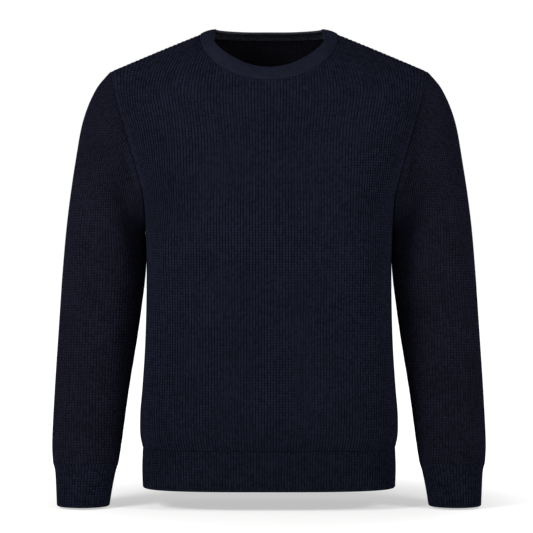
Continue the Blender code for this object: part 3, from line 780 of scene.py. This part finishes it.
def sleeve_ring(side, station, turns):
    """A ring of the sleeve, drawn to the armhole's edge the more, the nearer it is."""
    spaced = ease(station / ARMHOLE_REACH)
    angles = turns + (even_angles(SLEEVE, station, turns) - turns) * spaced
    pull = armhole_line(side, turns) - ring(SLEEVE, side, 0, turns)
    return ring(SLEEVE, side, station, angles) + pull * (1 - spaced)


def sleeve(side):
    """Outer and inner points of a sleeve, from its cuff up to its armhole, and their places in the knit."""
    ribs = np.arange(-SLEEVE_HALF_RIBS * RIB_POINTS, SLEEVE_HALF_RIBS * RIB_POINTS + 1) / RIB_POINTS
    last = SLEEVE["ring"][-1]
    places = np.linspace(0, last, LINE_STEPS)
    length = line_lengths(np.array([sleeve_ring(side, at, np.array([EVEN_TURN]))[0] for at in places]))
    even = np.linspace(0, length[-1], SLEEVE_COURSES + 1)
    near_edge = even[1] * EDGE_PLACES
    even = np.sort(np.concatenate([even, near_edge, length[-1] - near_edge]))
    stations = np.interp(even, length, places)[::-1]
    points, normals, all_turns = [], [], []
    for station in stations:
        turns = np.pi * np.clip(ribs / read(SLEEVE, "ribs", station), -1, 1)
        at_seam = np.sign(turns) * np.arccos(1 - 2 * np.abs(turns / np.pi) ** RIB_CLIMB)
        turns = turns + (at_seam - turns) * (1 - ease(station / ARMHOLE_REACH))
        low, high = max(station - FINE_STEP, 0), min(station + FINE_STEP, last)
        run = sleeve_ring(side, station, turns + FINE_STEP) - sleeve_ring(side, station, turns - FINE_STEP)
        rise = sleeve_ring(side, high, turns) - sleeve_ring(side, low, turns)
        points.append(sleeve_ring(side, station, turns))
        normals.append(side * unit(np.cross(run, rise)))
        all_turns.append(turns)
    points, normals, turns = np.array(points), np.array(normals), np.array(all_turns)
    fade = ease(stations / FOLD_FADE) * ease((last - stations) / FOLD_FADE)
    height = np.zeros(points.shape[:2])
    for half in (-1, 1):
        chosen = (SLEEVE_FOLDS["side"] == side) & (SLEEVE_FOLDS["face"] == half)
        folds = fold_height(SLEEVE_FOLDS, chosen, np.abs(points[..., 0]), points[..., 2])
        on_half = np.where(turns >= 0, -1, 1) == half
        facing = np.clip(half * normals[..., 1] * FOLD_FACING, 0, 1) * on_half
        height += folds * facing * fade[:, None]
    return sewn_cloth(points, normals, ribs, height, SLEEVE_RELIEF)


# The same cotton, spread wider over the arm, so its stitches lie flatter
SLEEVE_RIB = rib_knit("carded_cotton_sleeve_rib", "#1A1B27", "#09090E", 0.008, 0.0007)

for name, side in (("left", 1), ("right", -1)):
    outer, inner, knit = sleeve(side)
    piece = knit_wall(f"{name}_sleeve", outer, inner, knit, INSIDE_STEP, False, SLEEVE_RIB)
    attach(piece, "root")
    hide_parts(f"sleeve_{name}")


# ------------------------------------------------------------------------------------------------------
# Hem. A tube of closer rib in the same cotton, 240 ribs round, knitted on to the panels' lower edge and
# folded over at its foot.
BAND_CLOTH = 0.0028
# A band's inner face has one row for each four of its outer face
BAND_INSIDE_STEP = 4
HEM_HEIGHT = -0.678
HEM_RIBS = 240
HEM_ROWS = 14
CUFF_RIB_HEIGHTS = np.array([0.00035, 0.00015, -0.00065, 0.00015])
# The foot is rounded over this height, with rows at these shares of it
FOOT_ROUND = 0.0022
FOOT_PLACES = np.array([0.12, 0.4, 0.9])

HEM = table(
    "height half_width front_depth back_depth squareness",
    (-0.6780, 0.1885, 0.0950, 0.0900, 3.2),
    (-0.6500, 0.1895, 0.0960, 0.0905, 3.2),
    (-0.6185, 0.1885, 0.0975, 0.0910, 3.2),
)


def tube_normals(points):
    """Unit normals of rings of points, each closed round its columns."""
    run = np.roll(points, -1, axis=1) - np.roll(points, 1, axis=1)
    return unit(np.cross(run, np.gradient(points, axis=0)))


def closed_round(grid):
    """A grid whose last column repeats its first."""
    return np.concatenate([grid, grid[:, :1]], axis=1)


def band_cloth(points, normals, up, rib_count):
    """Outer and inner points of a ribbed band, round at its foot and joined on above, and its knit map."""
    off_foot = np.clip(up / FOOT_ROUND, 0, 1)
    relief = np.tile(CUFF_RIB_HEIGHTS, rib_count) * ease(off_foot)
    relief = relief - FOOT_ROUND / 2 * (1 - np.sqrt(1 - (1 - off_foot) ** 2))
    relief = relief + sunk(up[-1] - up, JOIN_DIP)
    ribs = np.arange(rib_count * RIB_POINTS + 1) / RIB_POINTS
    knit = np.stack(np.broadcast_arrays(ribs, up[:, :1] / COURSE), axis=-1)
    outer, inner = points + normals * relief[..., None], points - normals * BAND_CLOTH
    return closed_round(outer), closed_round(inner), knit


def hem():
    """Outer and inner points of the hem, from its foot up to its seam, and their places in the knit."""
    half = np.linspace(-1, 1, HEM_RIBS * RIB_POINTS // 2 + 1)
    top = HEM_SEAM - SEAM_GAP
    heights = HEM_HEIGHT + (top - HEM_HEIGHT) * np.linspace(0, 1, HEM_ROWS + 1)
    foot = HEM_HEIGHT + FOOT_ROUND * FOOT_PLACES
    near_seam = top - COURSE * EDGE_PLACES
    heights = np.sort(np.concatenate([heights, foot, near_seam]))
    points = []
    for height in heights:
        ahead = round_section(HEM, -1, half, height)[:-1]
        behind = round_section(HEM, 1, half[::-1], height)[:-1]
        points.append(np.concatenate([ahead, behind]))
    points = np.array(points)
    normals = tube_normals(points)
    normals[..., 2] = 0
    return band_cloth(points, unit(normals), heights[:, None] - HEM_HEIGHT, HEM_RIBS)


# The closer rib of hem and cuffs, with the deepest painted shade between its ribs
HEM_RIB = rib_knit("carded_cotton_cuff_rib", "#1B1D2B", "#06070B", 0.008, 0.0006)

outer, inner, knit = hem()
piece = knit_wall("hem_band", outer, inner, knit, BAND_INSIDE_STEP, False, HEM_RIB)
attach(piece, "root")
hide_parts("hem_rib")


# ------------------------------------------------------------------------------------------------------
# Cuffs. Each is a short tube of the hem's rib, 56 ribs round, knitted on to the sleeve's lower edge. It
# draws the sleeve in at the wrist and is folded over at its foot.
CUFF_RIBS = 56
CUFF_ROWS = 16
# The rows that round the foot lie nearer to it than those at the seam do, by this share
FOOT_NEARNESS = 0.6

# Rings from the sleeve's seam, 0, down to the foot, 3
CUFF = table(
    "ring outer_x outer_z under_x under_z middle depth",
    (0.0, 0.3220, -0.6400, 0.2243, -0.6400, -0.018, 0.0440),
    (1.0, 0.3185, -0.6530, 0.2285, -0.6530, -0.020, 0.0385),
    (2.0, 0.3165, -0.6780, 0.2335, -0.6780, -0.024, 0.0370),
    (3.0, 0.3150, -0.7040, 0.2375, -0.7040, -0.028, 0.0350),
)


def cuff(side):
    """Outer and inner points of a cuff, from its foot up to its seam, and their places in the knit."""
    turns = np.linspace(-np.pi, np.pi, CUFF_RIBS * RIB_POINTS + 1)[:-1]
    stations = np.linspace(0, CUFF["ring"][-1], CUFF_ROWS + 1)
    near_seam = stations[1] * EDGE_PLACES
    stations = np.concatenate([stations, near_seam, stations[-1] - near_seam * FOOT_NEARNESS])
    stations = np.sort(stations)[::-1]
    rings = [ring(CUFF, side, at, even_angles(CUFF, at, turns)) for at in stations]
    points = np.array(rings) - np.array([0, 0, SEAM_GAP])
    normals = -side * tube_normals(points)
    normals[[0, -1], :, 2] = 0
    return band_cloth(points, unit(normals), column_lengths(points), CUFF_RIBS)


for name, side in (("left", 1), ("right", -1)):
    outer, inner, knit = cuff(side)
    piece = knit_wall(f"{name}_cuff", outer, inner, knit, BAND_INSIDE_STEP, False, HEM_RIB)
    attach(piece, "root")
    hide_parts(f"cuff_{name}")


# ------------------------------------------------------------------------------------------------------
# Neckband. A strip of finer, smooth knit folded double over the neck edge, so its fold makes a round lip,
# with a few courses showing as faint lines along it.
NECK_COLUMNS = 91
BAND_WIDTH = 0.0255
BAND_THICKNESS = 0.0034
BAND_PROUD = 0.0004
BAND_BULGE = 0.0020
BULGE_POWER = 0.8
BAND_LINES = 7
BAND_LINE_DEPTH = 0.00016
# Its foot is tucked under the panels' edge by this share of its thickness, over this width
BAND_TUCK = 0.45
TUCK_REACH = 0.0022
BAND_RIBS = 210
BAND_COURSE = 0.0032
# The seam's way is measured over this many points to each side, and the lip is smoothed so many times
WAY_POINTS = 4
BAND_SMOOTHING = 60
# Rows up the outside, over the fold and down the inside
OUT_ROWS = 57
FOLD_ROWS = 10
IN_ROWS = 12

# How steeply the band stands, by how far round the neck it is, from the middle of the front to the back's
BAND_LEAN = table(
    "turn lean",
    (0.0, 0.87),
    (0.55, 1.00),
    (0.85, 1.19),
    (1.1, 1.20),
    (1.34, 0.55),
    (1.6, 0.42),
    (2.3, 0.33),
    (np.pi, 0.35),
)


def neckline():
    """The seam of neckband and panels, from the right shoulder round the front and the back."""
    half = np.linspace(-1, 1, 2 * NECK_COLUMNS + 1)
    ahead = panel_row(-1, half * neck_share(-1), 2)
    behind = panel_row(1, np.sin(half * np.pi / 2) * neck_share(1), 2)[::-1]
    right, left = (ahead[0] + behind[-1]) / 2, (ahead[-1] + behind[0]) / 2
    return np.array([right, *ahead[1:-1], left, *behind[1:-1]])


def neckband():
    """The band's skin as one tube: out from the seam to the fold, over it and back down inside."""
    seam = neckline()
    run = np.roll(seam, -WAY_POINTS, axis=0) - np.roll(seam, WAY_POINTS, axis=0)
    inward = unit(np.stack([-run[:, 1], run[:, 0], 0 * run[:, 0]], axis=1))
    turn = np.arctan2(np.abs(seam[:, 0]), -seam[:, 1])
    lean = read(BAND_LEAN, "lean", turn)[:, None]
    way = inward * np.cos(lean) + np.array([0, 0, 1]) * np.sin(lean)
    lip = seam + way * (SEAM_GAP + BAND_WIDTH)
    for _ in range(BAND_SMOOTHING):
        lip = lip / 2 + (np.roll(lip, 1, axis=0) + np.roll(lip, -1, axis=0)) / 4
    way = lip - seam
    face = unit(np.cross(run, way))
    half = BAND_THICKNESS / 2
    flat_share = 1 - half / BAND_WIDTH
    out_share = np.linspace(0, flat_share, OUT_ROWS)
    lines = BAND_LINE_DEPTH * np.cos(2 * np.pi * BAND_LINES * out_share / flat_share)
    tucked = -BAND_THICKNESS * BAND_TUCK * (1 - ease(out_share * BAND_WIDTH / TUCK_REACH)) ** 2
    bulge = BAND_BULGE * np.sin(np.pi * out_share / flat_share) ** BULGE_POWER
    fold = np.linspace(np.pi / 2, -np.pi / 2, FOLD_ROWS + 2)[1:-1]
    fold_share = flat_share + half / BAND_WIDTH * np.cos(fold)
    in_share = np.linspace(flat_share, 0, IN_ROWS)
    in_bulge = BAND_BULGE * np.sin(np.pi * in_share / flat_share) ** BULGE_POWER
    shares = np.concatenate([out_share, fold_share, in_share])
    middle = BAND_PROUD - half
    out_rise = middle + half + lines + tucked + bulge
    rises = np.concatenate([out_rise, middle + half * np.sin(fold), middle - half + in_bulge])
    grid = seam + shares[:, None, None] * way + face * rises[:, None, None]
    length = line_lengths(lip)
    ribs = BAND_RIBS * np.append(length / (length[-1] + np.linalg.norm(lip[0] - lip[-1])), 1)
    rows = running_sum(np.hypot(np.diff(shares) * BAND_WIDTH, np.diff(rises)))
    knit = np.stack(np.broadcast_arrays(ribs[None, :], rows[:, None] / BAND_COURSE), axis=-1)
    return closed_round(grid), knit


# Combed cotton, smoother than the body's yarn, with small shallow stitches
NECK_KNIT = rib_knit("combed_cotton_jersey", "#1E202E", "#0F1118", 0.008, 0.0003)
# The band's inside shows its ribs, in a much paler copy of the yarn's colour: painted light, so that it
# stands out from the hollow behind it
NECK_INSIDE_PAINTED_LIGHT = rib_knit("combed_cotton_rib_inside_painted_light", "#52545F", "#0E0E12", 0.008, 0.0005)

grid, knit = neckband()
ids = np.arange(grid.shape[0] * grid.shape[1]).reshape(grid.shape[:2])
faces = grid_faces(np.concatenate([ids, ids[:1]]))
fold_row = OUT_ROWS + FOLD_ROWS // 2
is_inside = [k // (grid.shape[1] - 1) >= fold_row for k in range(len(faces))]
points, places = grid.reshape(-1, 3), knit.reshape(-1, 2)
piece = cloth_piece("neck_band", points, places, faces, is_inside, (NECK_KNIT, NECK_INSIDE_PAINTED_LIGHT))
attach(piece, "root")
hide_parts("neckband")


bpy.context.view_layer.update()
